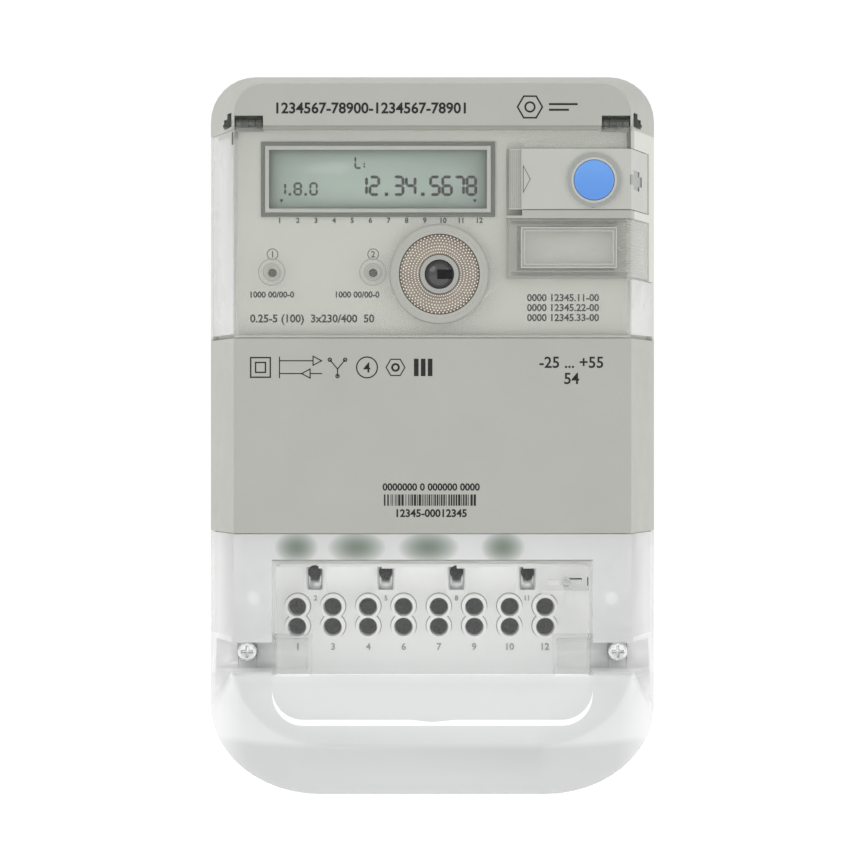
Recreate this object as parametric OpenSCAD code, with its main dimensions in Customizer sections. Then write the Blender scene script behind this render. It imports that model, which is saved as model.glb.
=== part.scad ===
// Three-phase electricity meter for a wall or a board: a grey case with a hinged clear window,
// a lift-off clear terminal cover, two sliding doors, and the electronics inside.
// X runs across the meter, Z runs up, and the back lies on the wall at Y = 0.
// The front looks towards -Y. The origin is the middle of the wall face.

/* [Case] */
// Width across the side walls
case_w = 178; // [177:0.5:180]
// Height from the bottom of the terminal cover to the top of the case
case_h = 288; // [286:0.5:290]
// Depth from the wall to the front face
case_d = 78; // [78:0.5:80]
// Width of the flat front face, between the side bevels
face_w = 155; // [154:0.5:156]
// Wall thickness of the opaque mouldings
wall = 2.2; // [2:0.1:2.4]

/* [Window and doors] */
// Wall thickness of the clear window
window_t = 2; // [1.8:0.1:2.1]
// Diameter of the two hinge pins
hinge_pin_d = 2; // [1.8:0.1:2.2]
// Thickness of the sliding doors
door_t = 1.6; // [1.4:0.1:1.7]
// Diameter of the blue push button
button_d = 15.7; // [15:0.1:16]

/* [Terminals] */
// Distance between neighbouring cable terminals
pitch = 14.25; // [14:0.05:14.4]
// Diameter of the cable entries
cable_d = 9; // [8.6:0.1:9.2]
// Diameter of the three fixing holes
fixing_d = 5.5; // [5:0.1:6]

/* [Hidden] */
$fn = 48;
gap = 0.3; // between two bodies that don't touch

// Outline heights and depths
top_z = case_h / 2;
bot_z = -case_h / 2;
front_y = -case_d;
rim_y = front_y + 31; // back of the bevels
skirt_y = rim_y + 11; // back edge of the front cover's skirt
face_top_z = top_z - 6.6;
face_bot_z = bot_z + 23;
base_bot_z = -96.5;
floor_t = 2.5;

// Window and its recess
recess_t = 4.5; // depth of the deck below the front
deck_t = 2; // thickness of the deck
deck_y = front_y + recess_t;
deck_in_y = deck_y + deck_t;
hinge_y = front_y + 2.5;
hinge_z = 122.3;
window_top_z = 119.3;
window_bot_z = 38.3;
seam_z = 38; // top of the mid panel
wing_bot_z = 39.7; // lower end of the window's bevelled sides
wing_back_y = front_y + 28.6; // back edge of the window's bevelled sides
door_back_y = front_y + 22; // back edge of the doors' flanges
lower_seam_z = -38;
knuckle_x0 = 66.4;
knuckle_x1 = 76.6;
knuckle_r = 1.75;

// Display
lcd = [-64.2, 22.2, 88.2, 113.2]; // x from, x to, z from, z to of the glass
board_y = front_y + 13; // front of the display board
board_t = 1.6;
main_y = -46; // front of the main board

// Optical port, pulse lamps, push button
port = [2.7, 63.1];
port_r = 19.2;
ring_r = 15.7;
lamps = [[-62.6, 63.8], [-23.2, 63.8]];
button = [63, 99.7];
button_travel = 1.5;

// Doors
door_x0 = 29.8;
door_x1 = 86;
button_door_z = [88.3, 112];
battery_door_z = [62, 84.5];
card_x = [34.5, 71.9];
card_z = [65.5, 81.4];
door_zone_z0 = 61.4;
seat_t = door_t + gap; // depth of the doors' seat below the front
cell = [51.5, 73.3]; // centre of the replaceable cell
cell_r = 7.25;
cell_y = front_y + 10.4;

// Terminals
first_x = -54.4;
term_x = [for (i = [0:7]) first_x + i * pitch];
row_z = [-68.8, -76.8];
block_x = 65;
block_front_y = -40;
collar_y = -47;
cable_y = -28.5;
ledge_z = [-51.9, -50.4];
link_x = [for (i = [0:3]) first_x + (2 * i + 0.5) * pitch];
link_z = -54.7;
plunger = [53.3, -58.9];

// Sealing screws and fixings
seal_x = 73.6;
seal_z = -85.7;
pocket_y = front_y + 23; // floor of the sealing screws' pockets
fix_x = 75;
fix_z = -68;
hanger_z = 132;
cover_screws = [[-70, 130], [70, 130], [-76, -26], [76, -26]];
board_screws = [[-60, 124], [60, 124], [-74, 28], [74, 28]];
display_screws = [[-70, 112], [-70, 50], [26, 50], [26, 84]];

// ---- Helpers ----

// A box between two opposite corners
module box(a, b) translate(a) cube(b - a);

// A box given by its ranges in X and Z, between two depths
module slab(x, z, y) box([x[0], y[0], z[0]], [x[1], y[1], z[1]]);

// A flat shape drawn in X and Z, extruded from one depth to another
module sheet(y0, y1) translate([0, y1, 0]) rotate([90, 0, 0]) linear_extrude(y1 - y0) children();

// Round bars along each axis
module rod_y(p, r, y0, y1) translate([p[0], y1, p[1]]) rotate([90, 0, 0]) cylinder(r = r, h = y1 - y0);
module rod_x(y, z, r, x0, x1) translate([x0, y, z]) rotate([0, 90, 0]) cylinder(r = r, h = x1 - x0);
module rod_z(x, y, r, z0, z1) translate([x, y, z0]) cylinder(r = r, h = z1 - z0);
module tube_y(p, r0, r1, y0, y1) difference() {
    rod_y(p, r1, y0, y1);
    rod_y(p, r0, y0 - 1, y1 + 1);
}

// A stretch of an ellipse
function arc(c, rx, rz, a0, n) = [for (i = [0:n]) let (a = a0 + 90 * i / n) c + [rx * cos(a), rz * sin(a)]];

// The case's outline: round at the top corners, elliptical at the bottom ones
function outline(hw, top, bot, r, rx, rz) = concat(
    arc([hw - r, top - r], r, r, 0, 8), arc([r - hw, top - r], r, r, 90, 8),
    arc([rx - hw, bot + rz], rx, rz, 180, 12), arc([hw - rx, bot + rz], rx, rz, 270, 12));
module rim_2d(t) polygon(outline(case_w / 2 - t, top_z - t, bot_z + t, 18 - t, 44 - t, 36 - t));
module face_2d(t) polygon(outline(face_w / 2 - t, face_top_z - t, face_bot_z + t, 12 - t, 38 - t, 31 - t));

// The solid that every cover follows, t below its outer surface, open to the given back depth
module form(t, back = skirt_y) {
    hull() {
        sheet(front_y + t, front_y + t + 0.01) face_2d(t);
        sheet(rim_y - 0.01, rim_y) rim_2d(t);
    }
    sheet(rim_y, back) rim_2d(t);
}

// A coil spring along Y: mean radius r, wire radius w
module coil(p, r, w, turns, y0, y1) {
    n = 16;
    sides = 6;
    steps = round(turns * n);
    lead = (y1 - y0 - 2 * w) / steps;
    points = [for (i = [0:steps], k = [0:sides - 1])
        let (a = 360 * i / n, b = 360 * k / sides, d = r + w * cos(b))
        [p[0] + d * cos(a), y0 + w + lead * i + w * sin(b), p[1] + d * sin(a)]];
    skin = [for (i = [0:steps - 1], k = [0:sides - 1]) let (j = (k + 1) % sides)
        [i * sides + k, i * sides + j, (i + 1) * sides + j, (i + 1) * sides + k]];
    ends = [[for (k = [sides - 1:-1:0]) k], [for (k = [0:sides - 1]) steps * sides + k]];
    polyhedron(points, concat(skin, ends));
}

// A screw along Y with its head's front at y0, pointing to +Y, with a cross slot
module cross_screw(p, head_r, head_h, shank_r, y0, y1) difference() {
    union() {
        rod_y(p, head_r, y0, y0 + head_h);
        rod_y(p, shank_r, y0, y1);
    }
    slot = head_r * 0.6;
    for (s = [[slot, 0.45], [0.45, slot]])
        slab([p[0] - s[0], p[0] + s[0]], [p[1] - s[1], p[1] + s[1]], [y0 - 1, y0 + head_h * 0.5]);
}

// ---- Case ----

// Rear tub with the wall face, the posts and the terminal recess
module base_housing() color("#e4e4e0") difference() {
    union() {
        difference() {
            sheet(skirt_y, 0) rim_2d(0.5);
            sheet(skirt_y - 1, -floor_t) intersection() {
                rim_2d(0.5 + floor_t);
                translate([-100, base_bot_z + floor_t]) square([200, 300]);
            }
        }
        sheet(rim_y + 2, skirt_y + 2) intersection() {
            difference() {
                rim_2d(wall + gap + 0.1);
                rim_2d(wall + 2.2);
            }
            translate([-100, ledge_z[1]]) square([200, 300]);
        }
        for (s = [-1, 1]) {
            side_wall = [min(s * block_x, s * 86), max(s * block_x, s * 86)];
            slab(side_wall + [0.2, -0.2], ledge_z, [rim_y + 2, -1]);
            rod_y([s * seal_x, seal_z], 5, pocket_y + 1.9, -1);
            rod_y([s * fix_x, fix_z], 6, -6, -1);
        }
        for (p = cover_screws) rod_y(p, 4.5, -44, -1);
        for (p = board_screws) rod_y(p, 3.5, main_y + board_t, -1);
        slab([-15, 15], [115, 141], [-11, -1]);
    }
    box([-100, -100, -200], [100, 10, base_bot_z]);
    slab([-block_x - 0.1, block_x + 0.1], [base_bot_z - 1, ledge_z[1] + 1], [-60, -floor_t]);
    slab([-13, 13], [117, 139], [-9.5, 1]);
    for (s = [-1, 1]) {
        rod_y([s * fix_x, fix_z], fixing_d / 2, -10, 1);
        rod_y([s * seal_x, seal_z], 3.22, -60, -38);
    }
    for (p = cover_screws) {
        rod_y(p, 2.1, -50, 1);
        rod_y(p, 4, -8, 1);
    }
    for (p = board_screws) rod_y(p, 1.3, -60, -30);
}

// Steel plate at the top of the back, with the hole that hangs on a wall stud
module hanger_bracket() color("silver") difference() {
    union() {
        slab([-12.8, 12.8], [117.2, 138.8], [-2.2, -0.2]);
        for (s = [-1, 1]) slab([s * 11.9 - 0.8, s * 11.9 + 0.8], [120, 136], [-9.3, -1]);
    }
    rod_y([0, hanger_z], fixing_d / 2, -5, 1);
}

// Foam ring between the tub and the front cover
module case_gasket() color("#404040") sheet(rim_y + 0.9, rim_y + 2) intersection() {
    difference() {
        rim_2d(wall + gap + 0.2);
        rim_2d(wall + 2);
    }
    translate([-100, lower_seam_z + 3]) square([200, 300]);
}

// Long screws that join the tub and the front cover from behind
module case_screws() color("silver") for (p = cover_screws) mirror([0, 1, 0])
    cross_screw(p, 3.6, 2.6, 1.9, 5, 56);

// Everything above the seat of the doors, or beside it on the right bevel
module door_zone()
    slab([door_x0 - 0.9, 100], [door_zone_z0, button_door_z[1] + 0.2], [-100, door_back_y + 2]);

// Grey front: top strip, recessed deck, doors' seat and mid panel in one moulding
module front_cover() color("#b7b9b1") difference() {
    union() {
        difference() {
            form(0);
            // window recess
            difference() {
                slab([-100, 100], [seam_z, 119.6], [-100, wing_back_y]);
                intersection() {
                    form(window_t + gap);
                    slab([-100, 100], [0, 200], [deck_y, 0]);
                }
                door_zone();
                slab([77.3, 100], [door_zone_z0, 120], [-100, 0]);
            }
            // doors' seat
            difference() {
                door_zone();
                form(seat_t);
                slab([door_x0 - 0.9, 100], [battery_door_z[1] + gap, button_door_z[0] - gap], [-100, 0]);
            }
            // space inside
            difference() {
                form(wall, 10);
                slab([-100, 100], [seam_z - 2, 121.6], [-100, wing_back_y + 2]);
                slab([-100, 100], [lower_seam_z - 1, lower_seam_z + 2.1], [-100, -45]);
                for (s = [-1, 1]) slab([s * 73.5 - 10, s * 73.5 + 10], [118, 128], [-100, front_y + 16]);
            }
            difference() {
                form(recess_t + deck_t);
                slab([-100, 100], [121.6, 200], [-100, 10]);
                slab([-100, 100], [-200, seam_z - 2], [-100, 10]);
                for (s = [-1, 1]) slab([s * 73.5 - 10, s * 73.5 + 10], [118, 128], [-100, front_y + 16]);
                slab([48, 100], [86.8, 113.5], [-100, front_y + 8.5]);
                slab([31.5, 72.5], [63.1, 83.5], [-100, cell_y + 10.1]);
            }
            box([-100, -100, -200], [100, 10, lower_seam_z + 0.1]);
        }
        // apron behind the terminal cover's upper edge
        slab([-85, 85], [ledge_z[1] + 0.1, lower_seam_z + 2], [-47, -45]);
        // bosses
        rod_y(port, port_r, front_y + 0.6, deck_in_y);
        for (p = lamps) rod_y(p, 3.2, deck_y - 0.6, deck_in_y + 1);
        intersection() {
            for (p = cover_screws) rod_y(p, 4.5, front_y, -44.1);
            form(1);
        }
        for (p = display_screws) rod_y(p, 2.6, deck_y + 1, board_y);
    }
    // top edge of the window's front
    slab([-78.7, 78.7], [119, 121], [-100, front_y + 1.4]);
    // hinge pockets, with the notch in each bevel
    for (s = [-1, 1]) {
        slab([s * 71.6 - 5.6, s * 71.6 + 5.6], [119, 124.9], [-100, front_y + 5.4]);
        slab([s * 80.4 - 1.8, s * 80.4 + 1.8], [120.8, 124.4], [-100, front_y + 14]);
        slab([s * 79.6 - 1, s * 79.6 + 1], [124, 126.4], [-100, front_y + 12]);
        rod_x(hinge_y, hinge_z, hinge_pin_d / 2 + 0.03, s * 71.6 - 6.9, s * 71.6 + 6.9);
    }
    // display opening
    slab([lcd[0] - 0.2, lcd[1] + 0.2], [lcd[2] - 0.2, lcd[3] + 0.2], [-100, -60]);
    // optical port
    rod_y(port, ring_r + 0.1, -100, front_y + 2.3);
    rod_y(port, 7.7, -100, -60);
    for (p = lamps) {
        rod_y(p, 1.65, -100, -60);
        rod_y(p, 2.4, -100, deck_y - 0.1);
    }
    // button channel, guide groove and switch hole
    slab([52.4, 100], [button[1] - 10.5, button[1] + 10.5], [-100, front_y + 7]);
    slab([33.5, 53], [button[1] - 1.5, button[1] + 1.5], [-100, front_y + 4.4]);
    slab([33.5, 53], [button[1] - 2.7, button[1] + 2.7], [front_y + 3.1, front_y + 4.6]);
    rod_y(button, 3.05, -100, -60);
    // finger recess beside the button door
    slab([door_x0 - 0.9, door_x0 + 5.2], [85.9, 114.3], [-100, front_y + 3.4]);
    // cell well and the battery door's grooves
    slab([33, 71], [64.6, 82], [-100, cell_y + 8.6]);
    for (z = [63.2, 83.3]) slab([31, 100], [z - 0.8, z + 0.8], [-100, front_y + 3.8]);
    // screw holes
    for (p = cover_screws) rod_y(p, 1.92, -57, -40);
    for (p = display_screws) rod_y(p, 0.9, deck_in_y + 1, board_y + 5);
}

// ---- Window and display ----

// Clear hinged window with bevelled sides, an opening at the port and a corner for the doors
module window_cover() color("#dfe3e0", 0.4) difference() {
    union() {
        difference() {
            form(0);
            form(window_t, 10);
            box([-100, wing_back_y - gap, -200], [100, 10, 200]);
            box([-100, -100, -200], [100, 10, window_bot_z]);
            box([-100, -100, window_top_z], [100, 10, 200]);
            for (s = [-1, 1]) slab([s * 87.3 - 10, s * 87.3 + 10], [0, wing_bot_z], [-100, 0]);
            slab([door_x0 - 1.2, 100], [door_zone_z0 - gap, 112.5], [-100, 0]);
            slab([door_x0 - 1.2, door_x0 + 5.5], [door_zone_z0 - gap, 114.6], [-100, 0]);
            slab([77, 100], [door_zone_z0 - gap, 130], [-100, 0]);
            rod_y(port, port_r + 0.4, -100, 0);
        }
        for (s = [-1, 1]) {
            knuckle = [s * 71.5 - 5.1, s * 71.5 + 5.1];
            slab(knuckle, [window_top_z - 1, hinge_z], [front_y + 0.6, hinge_y]);
            rod_x(hinge_y, hinge_z, knuckle_r, knuckle[0], knuckle[1]);
        }
        for (p = lamps) tube_y(p, 4.6, 5.2, front_y - 0.3, front_y + 1);
    }
    for (s = [-1, 1]) rod_x(hinge_y, hinge_z, hinge_pin_d / 2 + 0.05, s * 71.5 - 6, s * 71.5 + 6);
    slab([-77, 77], [wing_bot_z - 0.2, wing_bot_z + 0.2], [-100, front_y + 0.3]);
}

// Steel pins that the window turns on
module hinge_pins() color("silver") for (s = [-1, 1])
    rod_x(hinge_y, hinge_z, hinge_pin_d / 2, s * 71.6 - 6.8, s * 71.6 + 6.8);

// Stepped frame around the display
module lcd_bezel() color("#777b72") difference() {
    union() {
        slab([-67, 24.4], [85.8, 115], [deck_y - 0.7, deck_y]);
        slab([-65.4, 22.8], [87.4, 113.4], [deck_y - 1.3, deck_y - 0.5]);
    }
    slab([-63.9, 21.9], [88.5, 112.9], [-100, 0]);
}

// Liquid-crystal cell
module lcd_glass() color("#a2afa6") slab([lcd[0], lcd[1]], [lcd[2], lcd[3]], [deck_y + 0.4, deck_y + 3.2]);

// Light guide behind the display
module lcd_backlight() color("#f2f4f0")
    slab([lcd[0] - 1, lcd[1] + 1], [lcd[2] - 1.5, lcd[3] + 1.5], [deck_y + 3.3, board_y - 0.1]);

// L-shaped board behind the deck, round the cell well
module display_board() color("#1f6b3a") difference() {
    union() {
        slab([-73, 29.5], [45, 117], [board_y, board_y + board_t]);
        slab([29, 73], [86.5, 117], [board_y, board_y + board_t]);
    }
    for (p = display_screws) rod_y(p, 1.2, -100, 0);
}

// Small screws that hold the display board to the deck
module display_screws() color("silver") for (p = display_screws) mirror([0, 1, 0])
    cross_screw(p, 2, 1.4, 0.85, -(board_y + board_t + 1.4), -(deck_in_y + 1.5));

// Pulse lamps on the display board
module pulse_leds() color("#d04040") for (p = lamps)
    slab([p[0] - 1.6, p[0] + 1.6], [p[1] - 1, p[1] + 1], [board_y - 1.5, board_y]);

// Clear rods that carry the lamps' light to the deck
module light_pipes() color("#70302c") for (p = lamps) {
    rod_y(p, 1.6, deck_y - 0.3, board_y - 1.6);
    rod_y(p, 2.6, deck_in_y + 1.1, deck_in_y + 2.1);
}

// ---- Optical port ----

// Steel ring that a reading head's magnet holds on to
module optical_ring() color("#a89b8c") tube_y(port, 7.8, ring_r, front_y + 1, front_y + 2.3);

// Dark infrared window
module optical_lens() color("#3a3a3a") rod_y(port, 5.7, front_y + 1.4, front_y + 3.2);

// Sleeve that carries the infrared window
module optical_holder() color("#c9cac6") union() {
    tube_y(port, 5.75, 7.6, front_y + 0.9, front_y + 8);
    tube_y(port, 4.4, 7.6, front_y + 3.3, front_y + 4.4);
    tube_y(port, 7.5, 9.4, deck_in_y + 0.1, deck_in_y + 1.2);
}

// Infrared sender and receiver
module ir_diodes() color("#202020") for (s = [-1, 1])
    rod_y(port + [s * 2.2, 0], 1.5, front_y + 5.2, board_y);

// ---- Doors and push button ----

// Skin of a sliding door between two heights, with its flange down the bevel
module door_skin(z) difference() {
    form(0);
    form(door_t, 10);
    box([-100, door_back_y - 0.4, -200], [100, 10, 200]);
    box([-100, -100, -200], [door_x0, 10, 200]);
    box([-100, -100, -200], [100, 10, z[0]]);
    box([-100, -100, z[1]], [100, 10, 200]);
}

// Door that carries the push button and hides the second switch contact
module button_door() color("#c3c5be") difference() {
    union() {
        door_skin(button_door_z);
        rod_y(button, 10.6, front_y - 0.5, front_y + door_t);
        tube_y(button, 9.3, 10.2, front_y + 1, front_y + 6.2);
        slab([35, 49], [button[1] - 1.1, button[1] + 1.1], [front_y + 1, front_y + 4]);
        slab([35, 49], [button[1] - 2.2, button[1] + 2.2], [front_y + 3.4, front_y + 4.2]);
    }
    slab([door_x0 - 1, door_x0 + 5], [80, 120], [-100, front_y + 0.8]);
    for (i = [0:5]) let(x = door_x0 + 0.3 + i * 0.8)
        slab([x, x + 0.4], [88.9, 111.4], [-100, front_y + 1.2]);
    tube_y(button, 9, 12, -100, front_y - 0.5);
    rod_y(button, button_d / 2 + 0.1, -100, 0);
    // holes for the sealing wire
    slab([77, 82.6], [98.1, 101.9], [-100, 0]);
    slab([78.6, 81.4], [96.2, 103.8], [-100, 0]);
}

// Blue button with its flange behind the door
module push_button() color("#5a8ed6") intersection() {
    union() {
        rod_y(button, button_d / 2, front_y - 3, front_y + 2);
        rod_y(button, 9.1, front_y + 1.8, front_y + 2.8);
        rod_y(button, 5.5, front_y + 2, front_y + 4.8);
    }
    translate([button[0], front_y + 42.8, button[1]]) sphere(r = 44.2, $fn = 96);
}

// Return spring between the button's flange and its retainer
module button_spring() color("silver") coil(button, 7.4, 0.28, 2, front_y + 2.85, front_y + 5.55);

// Ring that closes the door's barrel behind the spring
module button_retainer() color("#d0d1cc") tube_y(button, 6, 9.25, front_y + 5.6, front_y + 6.2);

// Rubber cap over the switch
module switch_cap() color("#404040") difference() {
    union() {
        rod_y(button, 3, front_y + 6.5, front_y + 9.3);
        rod_y(button, 4.2, front_y + 8.6, front_y + 9.3);
    }
    rod_y(button, 1.9, front_y + 7.5, 0);
}

// Switch on the display board
module tact_switch() color("#303030") union() {
    slab([button[0] - 3, button[0] + 3], [button[1] - 3, button[1] + 3], [front_y + 9.6, board_y]);
    rod_y(button, 1.7, front_y + 8.7, front_y + 10);
}

// Clear door over the replaceable cell, with a shallow recess for its card
module battery_door() color("#d3d5cf", 0.5) difference() {
    union() {
        door_skin(battery_door_z);
        for (z = [63.2, 83.3]) slab([32.5, 72], [z - 0.5, z + 0.5], [front_y + 1, front_y + 3.4]);
    }
    slab(card_x + [-0.1, 0.1], card_z + [-0.1, 0.1], [front_y + 1, front_y + 5]);
}

// Pale card behind the clear door's face, which hides the cell
module door_card() color("#d0d2cd") slab(card_x, card_z, [front_y + 1.05, front_y + door_t]);

// Replaceable lithium cell
module battery_cell() color("#3b7d4f") union() {
    rod_x(cell_y, cell[1], cell_r, cell[0] - 12, cell[0] + 11);
    rod_x(cell_y, cell[1], 2.6, cell[0] + 10, cell[0] + 12.5);
}

// Spring and plate contacts at the cell's ends
module battery_contacts() color("#c9a24a") {
    slab([33.1, 33.9], [66, 80.6], [cell_y - 6, cell_y + 8]);
    slab([33.8, cell[0] - 12.05], [cell[1] - 1.5, cell[1] + 1.5], [cell_y - 1.5, cell_y + 1.5]);
    slab([70.1, 70.9], [66, 80.6], [cell_y - 6, cell_y + 8]);
    slab([cell[0] + 12.55, 70.2], [cell[1] - 1.5, cell[1] + 1.5], [cell_y - 1.5, cell_y + 1.5]);
}

// ---- Electronics ----

// Main board on the tub's posts
module main_board() color("#1f6b3a") difference() {
    slab([-81, 81], [-33, 134], [main_y, main_y + board_t]);
    for (p = cover_screws) rod_y(p, 5.2, -100, 0);
    for (p = board_screws) rod_y(p, 1.6, -100, 0);
}

// Screws of the main board
module board_screws() color("silver") for (p = board_screws)
    cross_screw(p, 2.8, 1.8, 1.25, main_y - 1.8, -36);

// Supply transformer
module power_transformer() color("#8a6a2c") union() {
    slab([-74, -46], [66, 92], [main_y + board_t, main_y + board_t + 4]);
    slab([-72, -48], [70, 88], [main_y + board_t + 3, main_y + board_t + 20]);
    rod_y([-60, 79], 11, main_y + board_t + 6, main_y + board_t + 17);
}

// Supply capacitors
module filter_capacitors() color("#2a3d66") for (x = [-32, -12])
    rod_y([x, 80], 8, main_y + board_t, main_y + board_t + 26);

// Surge protection, one disc for each phase
module varistors() color("#3f6fb0") for (x = [-58, -36, -14])
    rod_x(main_y + board_t + 9, 36, 8, x - 2, x + 2);

// Clock's super-capacitor
module super_capacitor() color("#303030") rod_y([52, 40], 10, main_y - 7, main_y);

// Soldered backup cell
module backup_battery() color("#d8d2b0") rod_x(main_y - 7.4, 14, 7.3, -62, -37);

// Radio board with its shield can
module radio_module() color("#9aa0a6") union() {
    slab([10, 62], [52, 92], [main_y + 10, main_y + 11.6]);
    slab([16, 46], [58, 86], [main_y + 11.5, main_y + 14.6]);
    slab([12, 16], [54, 90], [main_y + board_t, main_y + 10.1]);
}

// Antenna strip near the top of the case
module radio_antenna() color("#c98a3a") slab([-40, 40], [118, 126], [main_y - 1.1, main_y - 0.1]);

// Stacking connector between the two boards
module board_connector() color("#202020") slab([-20, 12], [102, 108], [board_y + board_t, main_y]);

// Three-pole disconnect relay
module relay_block() color("#2c2c2e") slab([-61, 38], [-22, 12], [-40, -14]);

// Ring-shaped current transformers, one for each phase
module current_transformers() color("#2f5f9e") for (i = [0, 2, 4]) difference() {
    rod_z(term_x[i], cable_y, 9.6, -44, -32);
    rod_z(term_x[i], cable_y, 5, -50, -20);
}

// Copper legs of one phase, from a pair of cages up to the relay
module busbar(i) color("#c77b45") for (k = [i, i + 1])
    slab([term_x[k] - 1.5, term_x[k] + 1.5], [-62.4, -22], [cable_y - 4, cable_y + 4]);
module busbar_l1() busbar(0);
module busbar_l2() busbar(2);
module busbar_l3() busbar(4);

// Copper bridge between the two neutral cages
module neutral_link() color("#c77b45") union() {
    for (k = [6, 7]) slab([term_x[k] - 1.5, term_x[k] + 1.5], [-62.4, -38], [cable_y - 4, cable_y + 4]);
    slab([term_x[6], term_x[7]], [-41, -38], [cable_y - 4, cable_y + 4]);
}

// ---- Terminals ----

// White terminal block with paired collars, cable entries and link chambers
module terminal_block() color("#f1f1ee") difference() {
    union() {
        slab([-block_x, block_x], [base_bot_z, -53], [block_front_y, -floor_t - 0.1]);
        slab([-block_x, block_x], ledge_z, [-46, -floor_t - 0.1]);
        for (x = [1 - block_x, block_x - 1])
            slab([x - 1, x + 1], [base_bot_z, ledge_z[1]], [-46, -floor_t - 0.1]);
        slab([-block_x, block_x], [-53.5, ledge_z[0] + 0.1], [-24, -floor_t - 0.1]);
        for (x = term_x) {
            for (z = row_z) rod_y([x, z], 5, collar_y, block_front_y + 1);
        }
        for (x = link_x, s = [-1, 1])
            slab([x + s * 3.9 - 0.5, x + s * 3.9 + 0.5], [-63, ledge_z[0] + 0.1], [-46, block_front_y + 1]);
        for (x = link_x) slab([x - 3.6, x + 3.6], [-63, ledge_z[0] + 0.1], [-43.9, block_front_y + 1]);
        slab([44, block_x - 1], [-64, -62.4], [-45, block_front_y + 1]);
    }
    box([-100, -100, -200], [100, 10, base_bot_z]);
    for (x = term_x) {
        for (z = row_z) rod_y([x, z], 3.6, -60, -35);
        rod_z(x, cable_y, cable_d / 2, base_bot_z - 1, -80);
        slab([x - 5.5, x + 5.5], [-83.1, -52.9], [-37.1, -20.4]);
        slab([x - 1.8, x + 1.8], [-60, -40], [cable_y - 4.2, cable_y + 4.2]);
    }
    for (x = link_x) rod_y([x, link_z], 1.7, -60, -30);
    rod_y(plunger, 2.25, -60, -30.2);
    slab([plunger[0] - 3.3, plunger[0] + 3.3], [plunger[1] - 3.3, -53], [-31, -19]);
}

// Brass cages that take the cables
module terminal_cages() color("#c9a24a") for (x = term_x) difference() {
    slab([x - 5.4, x + 5.4], [-83, -62.5], [-37, -20.5]);
    rod_z(x, cable_y, cable_d / 2, -90, -64.5);
    for (z = row_z) rod_y([x, z], 2.5, -40, cable_y);
}

// Two clamping screws for each cage
module clamp_screws() color("#4a4a4a") for (x = term_x, z = row_z)
    cross_screw([x, z], 3.3, 2.6, 2.45, -42, cable_y - 4.5);

// Screws of the voltage links
module link_screws() color("#3c3c3c") for (x = link_x) cross_screw([x, link_z], 2.7, 2.2, 1.6, -47.4, -34);

// Brass plates under the link screws
module link_plates() color("#c9a24a") for (x = link_x) difference() {
    slab([x - 2.8, x + 2.8], [-62, -52.2], [-45.1, -44]);
    rod_y([x, link_z], 1.7, -60, -30);
}

// Brass inserts in the tub's posts, for the sealing screws
module threaded_inserts() color("#c9a24a") for (s = [-1, 1])
    tube_y([s * seal_x, seal_z], 2.1, 3.2, pocket_y + 1.9, -38.1);

// ---- Terminal cover and tamper switch ----

// Clear cover over the terminals, with a cable chamber below them
module terminal_cover() color("#e6e8e6", 0.4) difference() {
    union() {
        difference() {
            form(0, -1.5);
            form(wall, 10);
            box([-100, -100, lower_seam_z - gap], [100, 10, 200]);
            box([-100, skirt_y - gap, base_bot_z - gap], [100, 10, 200]);
            slab([-60, 60], [-200, -130], [-36, 10]);
            // thinner clear panel in front of the terminals
            sheet(front_y + 1.6, front_y + 3) hull() {
                translate([-62.5, -60]) square([125, 11.7]);
                for (s = [-1, 1]) translate([s * 50.5, -101]) circle(r = 12, $fn = 32);
            }
        }
        intersection() {
            form(0.5);
            for (s = [-1, 1])
                slab([s * 66.4 - 18.6, s * 66.4 + 18.6], [-94.1, -78.9], [-100, pocket_y + 1.6]);
        }
        rod_y(plunger, 1.6, front_y + 1, -50);
    }
    for (s = [-1, 1]) {
        slab([s * 74.4 - 25, s * 74.4 + 25], [-92.5, -80.5], [-100, pocket_y]);
        rod_y([s * seal_x, seal_z], 2.08, -60, -50);
    }
}

// Captive sealing screws, with a cross slot and a hole for the seal wire
module sealing_screw(s) color("#e9e9e9") difference() {
    cross_screw([s * seal_x, seal_z], 3.8, 3, 2, pocket_y - 4, -39);
    rod_x(pocket_y - 1.6, seal_z, 0.6, s * seal_x - 5, s * seal_x + 5);
}
module sealing_screw_left() sealing_screw(-1);
module sealing_screw_right() sealing_screw(1);

// Sealing washers under the screws' heads
module screw_washers() color("#303030") for (s = [-1, 1])
    tube_y([s * seal_x, seal_z], 2.15, 3.6, pocket_y - 0.95, pocket_y);

// Plunger that feels the terminal cover
module tamper_plunger() color("#f4f4f2") union() {
    rod_y(plunger, 2.2, -49.7, -35);
    slab([46.6, 60], [plunger[1] - 1, plunger[1] + 1], [-46, -44.6]);
}

// Spring behind the plunger
module plunger_spring() color("silver") coil(plunger, 1.75, 0.22, 4, -34.9, -30.3);

// Switch that the plunger works
module tamper_switch() color("#303030")
    slab([plunger[0] - 3.2, plunger[0] + 3.2], [plunger[1] - 3.2, plunger[1] + 3.2], [-30.2, -20]);

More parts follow.
